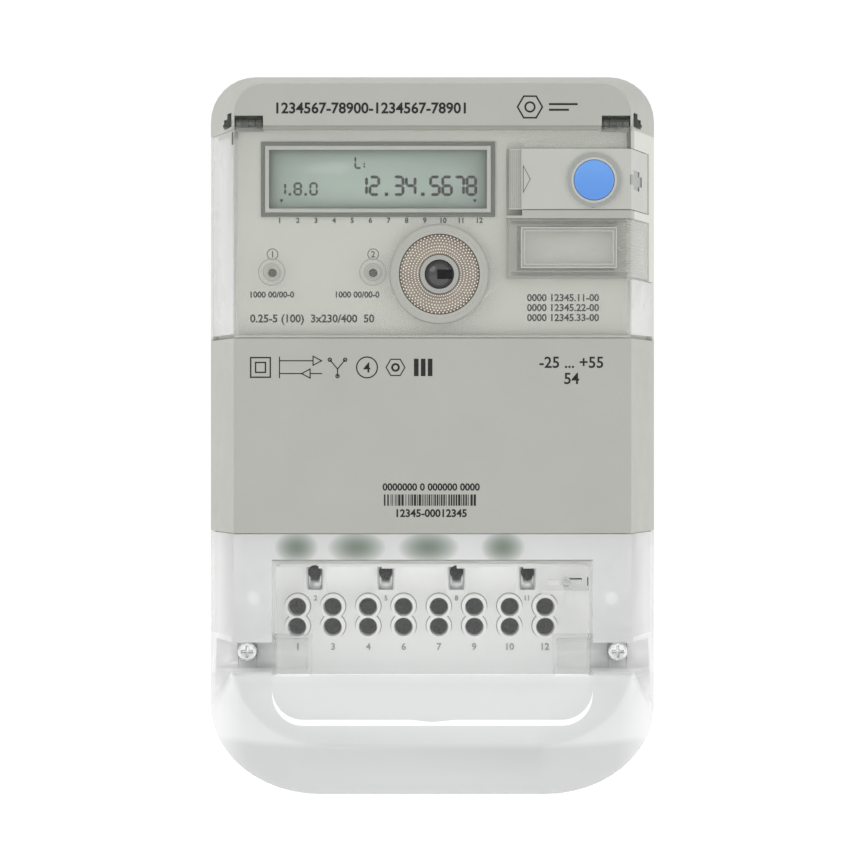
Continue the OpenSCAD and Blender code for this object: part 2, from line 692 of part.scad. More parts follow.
base_housing();
hanger_bracket();
case_gasket();
case_screws();
front_cover();
window_cover();
hinge_pins();
lcd_bezel();
lcd_glass();
lcd_backlight();
display_board();
display_screws();
pulse_leds();
light_pipes();
optical_ring();
optical_lens();
optical_holder();
ir_diodes();
button_door();
push_button();
button_spring();
button_retainer();
switch_cap();
tact_switch();
battery_door();
door_card();
battery_cell();
battery_contacts();
main_board();
board_screws();
power_transformer();
filter_capacitors();
varistors();
super_capacitor();
backup_battery();
radio_module();
radio_antenna();
board_connector();
relay_block();
current_transformers();
busbar_l1();
busbar_l2();
busbar_l3();
neutral_link();
terminal_block();
terminal_cages();
clamp_screws();
link_screws();
link_plates();
threaded_inserts();
terminal_cover();
sealing_screw_left();
sealing_screw_right();
screw_washers();
tamper_plunger();
plunger_spring();
tamper_switch();
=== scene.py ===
import math
import random

import bmesh
import bpy
from mathutils import Matrix, Vector


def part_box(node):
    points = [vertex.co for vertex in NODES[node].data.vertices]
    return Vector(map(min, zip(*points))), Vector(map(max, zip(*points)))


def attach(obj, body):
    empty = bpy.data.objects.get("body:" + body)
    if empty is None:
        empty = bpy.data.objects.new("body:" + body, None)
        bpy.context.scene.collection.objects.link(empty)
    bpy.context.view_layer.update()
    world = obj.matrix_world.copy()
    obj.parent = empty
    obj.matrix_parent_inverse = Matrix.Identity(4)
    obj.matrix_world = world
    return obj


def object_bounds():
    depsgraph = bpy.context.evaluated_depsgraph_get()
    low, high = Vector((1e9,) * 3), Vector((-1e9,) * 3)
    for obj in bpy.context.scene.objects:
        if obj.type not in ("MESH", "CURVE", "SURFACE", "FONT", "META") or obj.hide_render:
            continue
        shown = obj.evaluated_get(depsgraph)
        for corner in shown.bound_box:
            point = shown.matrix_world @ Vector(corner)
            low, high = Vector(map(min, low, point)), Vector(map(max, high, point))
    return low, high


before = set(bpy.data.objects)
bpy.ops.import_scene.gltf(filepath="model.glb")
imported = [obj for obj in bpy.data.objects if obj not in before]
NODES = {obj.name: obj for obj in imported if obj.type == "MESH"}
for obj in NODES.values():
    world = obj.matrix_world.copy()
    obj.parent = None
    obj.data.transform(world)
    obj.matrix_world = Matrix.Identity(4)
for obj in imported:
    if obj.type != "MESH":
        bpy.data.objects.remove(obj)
cad_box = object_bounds()
MM = 0.001


# ---- Places, taken from the frame, in millimetres ----

def box_mm(node):
    """Lowest and highest corner of a CAD node, in millimetres."""
    lo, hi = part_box(node)
    return lo / MM, hi / MM


def middle(node):
    """Centre of a CAD node's box, in millimetres."""
    lo, hi = box_mm(node)
    return (lo + hi) / 2


FRONT = box_mm("front_cover")[0].y
DECK = box_mm("lcd_bezel")[1].y
GLASS = box_mm("lcd_glass")
PORT = middle("optical_ring")
BUTTON = middle("push_button")

# The case's front is flat between -HALF_FACE and HALF_FACE, then slopes back to the rim.
HALF_FACE = 77.5
HALF_RIM = cad_box[1].x / MM
BEVEL_DEPTH = 31
BEVEL_SLOPE = (HALF_RIM - HALF_FACE) / BEVEL_DEPTH

# Recess in the front cover that the window closes. What lies behind RECESS_DEEP is its floor, which
# is painted lighter as painted light.
RECESS_DEEP = FRONT + 3.9
RECESS_FOOT = 39
RECESS_TOP = 119.7

PIPES = box_mm("light_pipes")
PIPE_FLANGE = 2.6
LAMPS = [PIPES[0].x + PIPE_FLANGE, PIPES[1].x - PIPE_FLANGE]
LAMP_Z = middle("light_pipes").z

# Clear panel of the terminal cover, round at its lower corners.
PANEL_HALF = 62.5
PANEL_TOP = -48.3
PANEL_BOTTOM = -113
PANEL_R = 12

BLOCK_FACE = -40
BORE_ROWS = (-68.8, -76.8)
SCREW_HEADS = -47.04

# Print stands this far proud of a surface, and on the front it goes as far into it.
INK = 0.03
FRONT_INK = (FRONT - INK, FRONT + INK)


# ---- Shader building ----

class Shader:
    """A node material, built up round one Principled shader."""

    def __init__(self, name, **values):
        self.mat = bpy.data.materials.new(name)
        self.mat.use_nodes = True
        self.tree = self.mat.node_tree
        self.main = self.tree.nodes["Principled BSDF"]
        for key, value in values.items():
            self.main.inputs[key.replace("_", " ")].default_value = value
        self.place = self.node("ShaderNodeTexCoord").outputs["Object"]

    def node(self, kind, **props):
        made = self.tree.nodes.new(kind)
        for key, value in props.items():
            setattr(made, key, value)
        return made

    def put(self, socket, value):
        """Links an output to a socket, or sets the socket to a value."""
        if isinstance(value, bpy.types.NodeSocket):
            self.tree.links.new(value, socket)
        else:
            socket.default_value = value

    def noise(self, scale, detail=4.0, rough=0.55, stretch=(1, 1, 1)):
        made = self.node("ShaderNodeTexNoise")
        mapping = self.node("ShaderNodeMapping")
        mapping.inputs["Scale"].default_value = stretch
        self.put(mapping.inputs["Vector"], self.place)
        self.put(made.inputs["Vector"], mapping.outputs["Vector"])
        made.inputs["Scale"].default_value = scale
        made.inputs["Detail"].default_value = detail
        made.inputs["Roughness"].default_value = rough
        return made.outputs["Fac"]

    def grains(self, scale):
        made = self.node("ShaderNodeTexVoronoi")
        made.inputs["Scale"].default_value = scale
        self.put(made.inputs["Vector"], self.place)
        return made.outputs["Distance"]

    def maths(self, operation, a, b=0.0):
        made = self.node("ShaderNodeMath", operation=operation)
        self.put(made.inputs[0], a)
        self.put(made.inputs[1], b)
        return made.outputs[0]

    def span(self, value, low, high, to_low=0.0, to_high=1.0):
        """value from low to high, mapped to to_low to to_high and held there."""
        made = self.node("ShaderNodeMapRange")
        self.put(made.inputs["Value"], value)
        names = ("From Min", "From Max", "To Min", "To Max")
        for key, number in zip(names, (low, high, to_low, to_high)):
            self.put(made.inputs[key], number)
        return made.outputs["Result"]

    def axis(self, name):
        """X, Y or Z in millimetres."""
        split = self.node("ShaderNodeSeparateXYZ")
        self.put(split.inputs[0], self.place)
        return self.maths("DIVIDE", split.outputs[name], MM)

    def blend(self, factor, a, b):
        made = self.node("ShaderNodeMix", data_type="RGBA")
        self.put(made.inputs["Factor"], factor)
        for socket, value in ((made.inputs[6], a), (made.inputs[7], b)):
            self.put(socket, value if isinstance(value, bpy.types.NodeSocket) else (*value, 1.0))
        return made.outputs[2]

    def bump(self, height, strength, distance, under=None):
        made = self.node("ShaderNodeBump")
        made.inputs["Strength"].default_value = strength
        made.inputs["Distance"].default_value = distance * MM
        self.put(made.inputs["Height"], height)
        if under is not None:
            self.put(made.inputs["Normal"], under)
        return made.outputs["Normal"]

    def set(self, key, value):
        self.put(self.main.inputs[key], value)


def srgb(*levels):
    """A colour from levels of 0 to 255, as linear light."""
    return tuple(((v / 255 + 0.055) / 1.055) ** 2.4 for v in levels)


def tone(colour, by):
    """A colour made darker or lighter."""
    return tuple(min(1.0, c * by) for c in colour)


def moulded(name, colour, rough=0.5, grain=0.35, mottle=0.03, scale=3600, pale=None, glow=0):
    """Spark-eroded moulded plastic: fine grain, faint flow marks, uneven sheen.

    pale is painted light: it makes what lies behind RECESS_DEEP, between the recess's foot and top,
    that much lighter, to make up for the light the window holds back.
    glow is painted light too: the surface gives off a little light of its own, though it is no
    lamp.
    """
    s = Shader(name, Roughness=rough, IOR=1.5)
    if glow:
        s.main.inputs["Emission Color"].default_value = (*colour[:3], 1)
        s.main.inputs["Emission Strength"].default_value = glow
    flow = s.noise(40, 5, 0.6)
    fine = s.noise(scale, 2)
    cloud = s.blend(s.span(flow, 0.3, 0.7), tone(colour, 1 - mottle), tone(colour, 1 + mottle))
    # Painted light: the recess floor behind the window is made lighter.
    if pale:
        deep = s.span(s.axis("Y"), RECESS_DEEP - 0.3, RECESS_DEEP + 0.3)
        over_foot = s.span(s.axis("Z"), RECESS_FOOT - 0.5, RECESS_FOOT + 0.5)
        under_top = s.span(s.axis("Z"), RECESS_TOP - 0.3, RECESS_TOP + 0.3, 1, 0)
        recess_painted_light = s.maths("MULTIPLY", s.maths("MULTIPLY", deep, over_foot), under_top)
        cloud = s.blend(recess_painted_light, cloud, tone(colour, pale))
    specks = s.span(fine, 0.4, 0.75, 0, 0.5)
    s.set("Base Color", s.blend(specks, cloud, tone(colour, 1 - 3 * mottle)))
    s.set("Roughness", s.span(s.noise(160, 3), 0.3, 0.7, rough - 0.07, rough + 0.07))
    s.set("Normal", s.bump(fine, grain, 0.04, s.bump(s.grains(scale * 0.6), grain * 0.5, 0.03)))
    return s.mat


def metal(name, colour, rough=0.3, lines=(40, 3000, 40), stain=0.12):
    """Metal with fine drawing lines and slight tarnish."""
    s = Shader(name, Metallic=1.0, Roughness=rough)
    drawn = s.noise(1.0, 3, 0.6, lines)
    tarnish = s.noise(120)
    s.set("Base Color", s.blend(s.span(tarnish, 0.35, 0.75), colour, tone(colour, 1 - stain)))
    s.set("Roughness", s.span(s.maths("ADD", drawn, tarnish), 0.7, 1.3, rough - 0.08, rough + 0.12))
    s.set("Normal", s.bump(drawn, 0.18, 0.02))
    return s.mat


def printed(name, colour, rough=0.6):
    """Pad-printed ink, slightly uneven."""
    s = Shader(name, Roughness=rough)
    s.set("Base Color", s.blend(s.span(s.noise(1500, 3), 0.35, 0.65), colour, tone(colour, 1.35)))
    s.set("Roughness", s.span(s.noise(500, 2), 0.3, 0.7, rough - 0.1, rough + 0.1))
    return s.mat


def rubbery(name, colour):
    """Matt rubber with a coarse skin."""
    s = Shader(name, Roughness=0.75)
    cloud = s.span(s.noise(300), 0.3, 0.7)
    s.set("Base Color", s.blend(cloud, tone(colour, 0.8), tone(colour, 1.3)))
    s.set("Normal", s.bump(s.noise(2500, 3), 0.4, 0.04))
    return s.mat


def see_through(s, haze, tint, milk, gloss=0.07):
    """Lets light through a surface, whose edges mirror more.

    haze is the share of light that its milky body takes.
    """
    clear = s.node("ShaderNodeBsdfTransparent")
    clear.inputs["Color"].default_value = (*tint, 1.0)
    shine = s.node("ShaderNodeBsdfGlossy")
    shine.inputs["Roughness"].default_value = gloss
    glow = s.node("ShaderNodeBsdfTranslucent")
    s.put(glow.inputs["Color"], milk)
    milky = s.node("ShaderNodeMixShader")
    milky.inputs[0].default_value = 0.4
    s.put(milky.inputs[1], s.main.outputs[0])
    s.put(milky.inputs[2], glow.outputs[0])
    s.set("Base Color", milk)
    body = s.node("ShaderNodeMixShader")
    s.put(body.inputs[0], haze)
    s.put(body.inputs[1], clear.outputs[0])
    s.put(body.inputs[2], milky.outputs[0])
    facing = s.node("ShaderNodeLayerWeight")
    facing.inputs["Blend"].default_value = 0.5
    mirror = s.maths("MULTIPLY", s.maths("POWER", facing.outputs["Facing"], 4.0), 0.8)
    whole = s.node("ShaderNodeMixShader")
    s.put(whole.inputs[0], s.maths("ADD", mirror, 0.035))
    s.put(whole.inputs[1], body.outputs[0])
    s.put(whole.inputs[2], shine.outputs[0])
    s.put(s.tree.nodes["Material Output"].inputs["Surface"], whole.outputs[0])


def window_plastic():
    """Polycarbonate of the window: clear in front, milky on its bevelled sides, with haze rising
    near the edge as painted shading of its rounded edge.
    """
    s = Shader("window_plastic", Roughness=0.3, IOR=1.55)
    across = s.maths("ABSOLUTE", s.axis("X"))
    # Painted shading: the haze rises towards the edge of the front, standing in for the shading of
    # its rounded edge.
    edge_painted_shading = s.span(across, HALF_FACE - 4, HALF_FACE - 0.4, 0.05, 0.14)
    side = s.span(across, HALF_FACE - 0.4, HALF_FACE + 0.6, 0, 0.5)
    cloud = s.noise(60, 3)
    milk = s.blend(s.span(cloud, 0.3, 0.7), srgb(250, 251, 249), srgb(254, 254, 254))
    s.set("Roughness", s.span(cloud, 0.3, 0.7, 0.22, 0.38))
    s.set("Normal", s.bump(s.noise(90, 2), 0.05, 0.05))
    see_through(s, s.maths("ADD", edge_painted_shading, side), (0.99, 0.992, 0.988), milk)
    return s.mat


def cover_plastic():
    """Terminal cover: frosted round a clear panel, with soft green spots painted into the frost as
    the shade of the parts behind it.
    """
    s = Shader("cover_plastic", Roughness=0.42, IOR=1.5)
    x, y, z = s.axis("X"), s.axis("Y"), s.axis("Z")
    across = s.maths("ABSOLUTE", x)
    corner_x = s.maths("MAXIMUM", s.maths("SUBTRACT", across, PANEL_HALF - PANEL_R), 0.0)
    corner_z = s.maths("MAXIMUM", s.maths("SUBTRACT", PANEL_BOTTOM + PANEL_R, z), 0.0)
    reach = s.maths("SQRT", s.maths("ADD", s.maths("MULTIPLY", corner_x, corner_x),
                                    s.maths("MULTIPLY", corner_z, corner_z)))
    frost = s.maths("MAXIMUM", s.span(reach, PANEL_R - 0.3, PANEL_R + 0.3),
                    s.span(z, PANEL_TOP - 0.2, PANEL_TOP + 0.2))
    # Pockets of the sealing screws: clear next to the panel, frosted further out.
    deep = s.maths("MULTIPLY", s.span(across, 47.5, 47.9), s.span(y, FRONT + 2.4, FRONT + 2.9))
    level = s.maths("MULTIPLY", s.span(z, -95, -94.6), s.span(z, -78.6, -78.2, 1, 0))
    in_pocket = s.maths("MULTIPLY", deep, level)
    pocket_haze = s.span(across, 61.5, 63.5, 0.06, 0.93)
    # Painted shade: soft dark green spots where the board's parts behind the cover would show, each
    # with its place and half its width.
    spots = None
    spot_z, spot_half = -43.5, 6.5
    for middle_x, half in ((-53, 8.7), (-29.5, 11.6), (-1.5, 12.2), (27.5, 8.8)):
        dx = s.maths("DIVIDE", s.maths("SUBTRACT", x, middle_x), half)
        dz = s.maths("DIVIDE", s.maths("SUBTRACT", z, spot_z), spot_half)
        away = s.maths("ADD", s.maths("MULTIPLY", dx, dx), s.maths("MULTIPLY", dz, dz))
        here = s.span(away, 0.0, 1.0, 1, 0)
        spots = here if spots is None else s.maths("MAXIMUM", spots, here)
    # Painted shade and light: the milk is darkest on the slope at the foot, which faces down, and
    # almost white on the bevelled sides, which face the light.
    cloud = s.noise(30, 3)
    slope = s.span(z, -122.5, -119.5, 1, 0)
    upper = s.span(z, -108, -92)
    bevel = s.maths("MULTIPLY", upper, s.span(across, HALF_FACE - 0.2, HALF_FACE + 0.4))
    edge = s.maths("MAXIMUM", bevel, s.span(across, HALF_FACE - 4, HALF_FACE + 8, 0, 0.8))
    milk = s.blend(s.span(cloud, 0.3, 0.7), srgb(244, 245, 245), srgb(249, 250, 250))
    milk = s.blend(s.span(z, -97, -91, 1, 0), milk, srgb(235, 236, 236))
    milk = s.blend(edge, milk, srgb(254, 254, 254))
    milk = s.blend(s.maths("MULTIPLY", slope, s.span(edge, 0, 1, 1, 0)), milk, srgb(216, 217, 217))
    # The green spots go into the milk as painted shade.
    milk = s.blend(s.maths("MULTIPLY", spots, 0.95), milk, srgb(138, 152, 138))
    # The panel is clear down to the foot of the terminals, and hazy below.
    panel_haze = s.span(z, -93.5, -92.9, 0.8, 0.02)
    haze = s.maths("MAXIMUM", s.maths("MULTIPLY", frost, 0.68), panel_haze)
    whole = s.node("ShaderNodeMix", data_type="FLOAT")
    s.put(whole.inputs[0], in_pocket)
    s.put(whole.inputs[2], haze)
    s.put(whole.inputs[3], pocket_haze)
    s.set("Roughness", s.span(frost, 0, 1, 0.22, 0.5))
    s.set("Normal", s.bump(s.noise(2600, 2), 0.12, 0.02))
    see_through(s, whole.outputs[0], (0.99, 0.993, 0.992), milk)
    return s.mat


def door_plastic():
    """Smoky clear plastic of the small door."""
    s = Shader("door_plastic", Roughness=0.35, IOR=1.55)
    cloud = s.noise(80, 3)
    milk = s.blend(s.span(cloud, 0.3, 0.7), srgb(206, 207, 202), srgb(214, 215, 210))
    s.set("Normal", s.bump(s.noise(1800, 2), 0.1, 0.02))
    see_through(s, s.span(cloud, 0.3, 0.7, 0.26, 0.32), (0.98, 0.982, 0.975), milk)
    return s.mat


def display_face():
    """Reflective liquid crystal: grey-green, darker towards its edges, behind polished glass."""
    s = Shader("display_face", Roughness=0.12, IOR=1.5)
    lo, hi = GLASS
    centre, half = (lo + hi) / 2, (hi - lo) / 2
    dx = s.maths("DIVIDE", s.maths("SUBTRACT", s.axis("X"), centre.x), half.x)
    dz = s.maths("DIVIDE", s.maths("SUBTRACT", s.axis("Z"), centre.z), half.z)
    dz = s.span(s.maths("ABSOLUTE", dz), 0, 1, 0, 0.98)
    edge = s.maths("MAXIMUM", s.maths("ABSOLUTE", dx), dz)
    face = s.blend(s.span(s.noise(50, 3), 0.3, 0.7), srgb(162, 178, 168), srgb(168, 184, 173))
    s.set("Base Color", s.blend(s.span(edge, 0.86, 1.0, 0, 0.35), face, srgb(120, 130, 121)))
    s.set("Roughness", s.span(s.noise(900, 2), 0.3, 0.7, 0.1, 0.18))
    return s.mat


def board_face():
    """Circuit board: green solder mask with faint tracks."""
    s = Shader("board_face", Roughness=0.35)
    brick = s.node("ShaderNodeTexBrick")
    s.put(brick.inputs["Vector"], s.place)
    pattern = {"Scale": 260.0, "Mortar Size": 0.03, "Bias": -0.2, "Mortar Smooth": 0.2}
    for key, value in pattern.items():
        brick.inputs[key].default_value = value
    mask = s.blend(s.span(s.noise(700), 0.3, 0.7), srgb(24, 92, 48), srgb(32, 108, 58))
    s.set("Base Color", s.blend(brick.outputs["Fac"], mask, srgb(62, 140, 84)))
    s.set("Roughness", s.span(s.noise(400, 2), 0.3, 0.7, 0.28, 0.42))
    s.set("Normal", s.bump(brick.outputs["Fac"], 0.3, 0.03))
    return s.mat


def steel_ring_face():
    """Beige plated ring of the optical port."""
    s = Shader("steel_ring_face", Metallic=0.35, Roughness=0.5)
    cloud = s.span(s.noise(220, 3), 0.3, 0.7)
    s.set("Base Color", s.blend(cloud, srgb(138, 129, 117), srgb(150, 141, 129)))
    s.set("Roughness", s.span(s.noise(900, 3), 0.3, 0.7, 0.42, 0.58))
    s.set("Normal", s.bump(s.noise(2600, 2), 0.2, 0.02))
    return s.mat


def button_face():
    """Glossy blue button, painted lighter towards its top edge as painted light from above."""
    s = Shader("button_face", Roughness=0.3, IOR=1.5, Coat_Weight=0.4, Coat_Roughness=0.15)
    # Painted light: the blue is lighter towards the top, as if lit from above.
    height = s.span(s.axis("Z"), BUTTON.z - 7.8, BUTTON.z + 7.8)
    s.set("Base Color", s.blend(height, srgb(74, 134, 212), srgb(104, 158, 228)))
    s.set("Roughness", s.span(s.noise(300, 3), 0.3, 0.7, 0.26, 0.36))
    s.set("Normal", s.bump(s.noise(2400, 2), 0.1, 0.02))
    return s.mat


# The case's recess floor is painted lighter, as painted light that makes up for the light the
# window holds back.
CASE = moulded("case_plastic", srgb(170, 171, 164), pale=1.52)
DOOR = moulded("door_grey_plastic", srgb(182, 183, 177), 0.45)
TUB = moulded("tub_plastic", srgb(222, 222, 217), 0.5)
# Painted light: the terminal block's white glows a little, though it is no lamp, to lift it out of
# the shade behind the cover.
WHITE = moulded("terminal_plastic", srgb(248, 248, 247), 0.4, 0.2, 0.01, glow=0.11)
INNER = moulded("inner_plastic", srgb(160, 161, 156), 0.45, 0.2)
BEZEL = moulded("bezel_plastic", srgb(120, 124, 116), 0.4, 0.25)
BLACK = moulded("black_plastic", srgb(44, 44, 46), 0.45, 0.3)
WINDOW = window_plastic()
LID = cover_plastic()
DOOR_CLEAR = door_plastic()
DISPLAY = display_face()
BOARD = board_face()
RING = steel_ring_face()
BLUE = button_face()
GUIDE = moulded("light_guide_plastic", srgb(238, 240, 236), 0.3, 0.1)
STEEL = metal("zinc_steel", srgb(196, 198, 200), 0.32)
BRIGHT = metal("nickel_steel", srgb(232, 232, 232), 0.2, (900, 900, 900), 0.05)
DARK_STEEL = metal("dark_steel", srgb(22, 21, 21), 0.6, (600, 600, 600), 0.25)
BRASS = metal("brass", srgb(206, 176, 104), 0.3)
COPPER = metal("copper", srgb(206, 138, 96), 0.3)
RUBBER = rubbery("rubber", srgb(52, 52, 54))
LAMP = moulded("lamp_dark_plastic", srgb(72, 66, 62), 0.25, 0.1)
IR_DARK = moulded("infrared_plastic", srgb(70, 70, 70), 0.14, 0.08)
CELL = moulded("cell_sleeve", srgb(58, 132, 84), 0.3, 0.1)
CELL_PALE = moulded("pale_cell_sleeve", srgb(216, 210, 178), 0.35, 0.1)
TAPE = moulded("transformer_tape", srgb(196, 160, 64), 0.4, 0.3)
SLEEVE = moulded("blue_sleeve", srgb(54, 92, 156), 0.35, 0.15)
CAN = metal("tinned_can", srgb(204, 206, 206), 0.3)
CARD = moulded("door_card_board", srgb(218, 220, 214), 0.55, 0.2)
INK_DARK = printed("dark_ink", srgb(8, 8, 10))
INK_GREY = printed("grey_ink", srgb(92, 94, 92))
SEGMENT = printed("display_segment", srgb(1, 2, 2), 0.9)
DOTS = printed("ring_dots", srgb(242, 235, 221), 0.5)
RING_GREY = moulded("button_ring_plastic", srgb(152, 155, 151), 0.4, 0.2)
FRAME_LIGHT = moulded("frame_light_plastic", srgb(186, 187, 180), 0.4, 0.2)
# Painted shade: the dark of the display's groove and of a slot on the window.
FRAME_SHADE = moulded("frame_painted_shade", srgb(92, 96, 88), 0.4, 0.2)
# Painted shade: the dark of the hinge notches, put on the sleeves and on the blocks at the pins'
# ends.
HINGE_SHADE = moulded("hinge_painted_shade", srgb(62, 66, 58), 0.45, 0.2)
LINE_GREY = printed("line_grey", srgb(150, 152, 146), 0.5)
# Painted highlight: the panel's foot is near white and has a little glow of its own.
LIP_HIGHLIGHT = moulded("lip_painted_highlight", srgb(250, 250, 250), 0.3, 0.1, glow=0.05)

FINISH = {
    CASE: ["front_cover"],
    DOOR: ["button_door"],
    TUB: ["base_housing"],
    WHITE: ["terminal_block", "tamper_plunger"],
    INNER: ["optical_holder", "button_retainer"],
    BEZEL: ["lcd_bezel"],
    BLACK: ["relay_block", "board_connector", "tact_switch", "tamper_switch", "super_capacitor"],
    WINDOW: ["window_cover"],
    LID: ["terminal_cover"],
    DOOR_CLEAR: ["battery_door"],
    DISPLAY: ["lcd_glass"],
    BOARD: ["display_board", "main_board"],
    RING: ["optical_ring"],
    BLUE: ["push_button"],
    GUIDE: ["lcd_backlight"],
    STEEL: ["hanger_bracket", "case_screws", "hinge_pins", "display_screws", "button_spring",
            "board_screws", "plunger_spring"],
    BRIGHT: ["sealing_screw_left", "sealing_screw_right"],
    DARK_STEEL: ["clamp_screws", "link_screws"],
    BRASS: ["battery_contacts", "terminal_cages", "threaded_inserts", "radio_antenna"],
    COPPER: ["busbar_l1", "busbar_l2", "busbar_l3", "neutral_link"],
    RUBBER: ["case_gasket", "switch_cap", "screw_washers"],
    LAMP: ["light_pipes", "pulse_leds"],
    IR_DARK: ["optical_lens", "ir_diodes"],
    CELL: ["battery_cell"],
    CELL_PALE: ["backup_battery"],
    TAPE: ["power_transformer"],
    SLEEVE: ["varistors", "current_transformers", "filter_capacitors"],
    CAN: ["radio_module", "link_plates"],
    CARD: ["door_card"],
}

# How far the edges of a node are rounded, in millimetres.
EASED = {
    "front_cover": 0.35, "base_housing": 0.4, "button_door": 0.2, "battery_door": 0.2,
    "terminal_block": 0.3, "sealing_screw_left": 0.3, "sealing_screw_right": 0.3,
    "clamp_screws": 0.2, "link_screws": 0.2, "push_button": 0.4, "lcd_bezel": 0.15,
    "optical_holder": 0.2, "hanger_bracket": 0.3, "tamper_plunger": 0.2,
}

# Nodes with narrow faces, where rounding must not run over and sharp edges stay sharp.
INTRICATE = {"front_cover", "terminal_block", "base_housing", "window_cover", "terminal_cover"}


def dress(node, material):
    """Gives a CAD node its material, smooth curves and eased edges."""
    obj = NODES[node]
    obj.data.materials.clear()
    obj.data.materials.append(material)
    weld = obj.modifiers.new("weld", "WELD")
    weld.merge_threshold = 0.002 * MM
    obj.data.polygons.foreach_set("use_smooth", [True] * len(obj.data.polygons))
    obj.data.set_sharp_from_angle(angle=math.radians(16))
    if node in EASED:
        ease = obj.modifiers.new("ease", "BEVEL")
        ease.width = EASED[node] * MM
        ease.segments = 2
        ease.limit_method = "ANGLE"
        ease.angle_limit = math.radians(32)
        ease.use_clamp_overlap = node in INTRICATE
    if node in EASED or node in INTRICATE:
        level = obj.modifiers.new("level", "WEIGHTED_NORMAL")
        level.keep_sharp = node in INTRICATE


for finish, members in FINISH.items():
    for member in members:
        dress(member, finish)


# ---- Mesh building, in millimetres ----

def prism(bm, outline, y0, y1):
    """A flat shape in X and Z, from depth y0 to y1, seen from -Y when drawn anticlockwise."""
    near = [bm.verts.new((x, y0, z)) for x, z in outline]
    far = [bm.verts.new((x, y1, z)) for x, z in outline]
    bm.faces.new(near)
    bm.faces.new(far[::-1])
    for i in range(len(near)):
        j = (i + 1) % len(near)
        bm.faces.new((near[j], near[i], far[i], far[j]))


def hull(bm, points):
    """The smallest solid round some points."""
    bmesh.ops.convex_hull(bm, input=[bm.verts.new(point) for point in points])


def box_outline(x0, x1, z0, z1):
    return [(x0, z0), (x1, z0), (x1, z1), (x0, z1)]


def bar(bm, x0, x1, z0, z1, y0, y1):
    prism(bm, box_outline(x0, x1, z0, z1), y0, y1)


def circle(x, z, r, n):
    turns = [2 * math.pi * i / n for i in range(n)]
    return [(x + r * math.cos(a), z + r * math.sin(a)) for a in turns]


def band(bm, outer, inner, y0, y1, closed=True):
    """The strip between two outlines of the same number of points, all round or with two ends."""
    rows = [[bm.verts.new((x, y, z)) for x, z in line] for line, y in
            ((outer, y0), (inner, y0), (inner, y1), (outer, y1))]
    n = len(outer)
    for i in range(n if closed else n - 1):
        j = (i + 1) % n
        for a, b in ((0, 1), (1, 2), (2, 3), (3, 0)):
            bm.faces.new((rows[a][i], rows[a][j], rows[b][j], rows[b][i]))
    if not closed:
        for i in (0, n - 1):
            bm.faces.new([row[i] for row in rows])


def ring(bm, x, z, r0, r1, y0, y1, n=64):
    band(bm, circle(x, z, r1, n), circle(x, z, r0, n), y0, y1)


def frame_line(bm, x0, x1, z0, z1, width, y0, y1):
    """A rectangular frame of a line width, inside the outline."""
    inner = box_outline(x0 + width, x1 - width, z0 + width, z1 - width)
    band(bm, box_outline(x0, x1, z0, z1), inner, y0, y1)


def stroke(bm, points, width, y0, y1):
    """A line of a width through points, square at its ends."""
    for (xa, za), (xb, zb) in zip(points, points[1:]):
        along = Vector((xb - xa, zb - za)).normalized() * width / 2
        side = Vector((-along.y, along.x))
        a, b = Vector((xa, za)) - along, Vector((xb, zb)) + along
        prism(bm, [tuple(a - side), tuple(b - side), tuple(b + side), tuple(a + side)], y0, y1)


def piece(name, bm, material, body, ease=0.0):
    """Turns a mesh in millimetres into a piece of the object."""
    bmesh.ops.recalc_face_normals(bm, faces=bm.faces)
    bmesh.ops.scale(bm, vec=(MM, MM, MM), verts=bm.verts)
    mesh = bpy.data.meshes.new(name)
    bm.to_mesh(mesh)
    bm.free()
    mesh.polygons.foreach_set("use_smooth", [True] * len(mesh.polygons))
    mesh.set_sharp_from_angle(angle=math.radians(30))
    mesh.materials.append(material)
    obj = bpy.data.objects.new(name, mesh)
    bpy.context.scene.collection.objects.link(obj)
    if ease:
        soften = obj.modifiers.new("ease", "BEVEL")
        soften.width = ease * MM
        soften.segments = 2
        soften.limit_method = "ANGLE"
    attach(obj, body)
    return obj


def figures(bm, words, x, z, height, y, thick=INK, align="LEFT", weight=0.022):
    """Plain numerals, z at their foot, standing proud of y by thick."""
    curve = bpy.data.curves.new("figures", "FONT")
    curve.body = words
    curve.size = height / 0.7
    curve.extrude = thick
    curve.offset = height * weight
    curve.align_x = align
    curve.resolution_u = 3
    holder = bpy.data.objects.new("figures", curve)
    mesh = bpy.data.meshes.new_from_object(holder)
    mesh.transform(Matrix.Translation((x, y, z)) @ Matrix.Rotation(math.pi / 2, 4, "X"))
    bm.from_mesh(mesh)
    bpy.data.objects.remove(holder)
    bpy.data.curves.remove(curve)
    bpy.data.meshes.remove(mesh)


# ---- Display ----

# Lit segments of each figure, named clockwise from the top, with g in the middle.
SEGMENTS = {"0": "abcdef", "1": "bc", "2": "abged", "3": "abgcd", "4": "fgbc", "5": "afgcd",
            "6": "afgedc", "7": "abc", "8": "abcdefg", "L": "fed"}


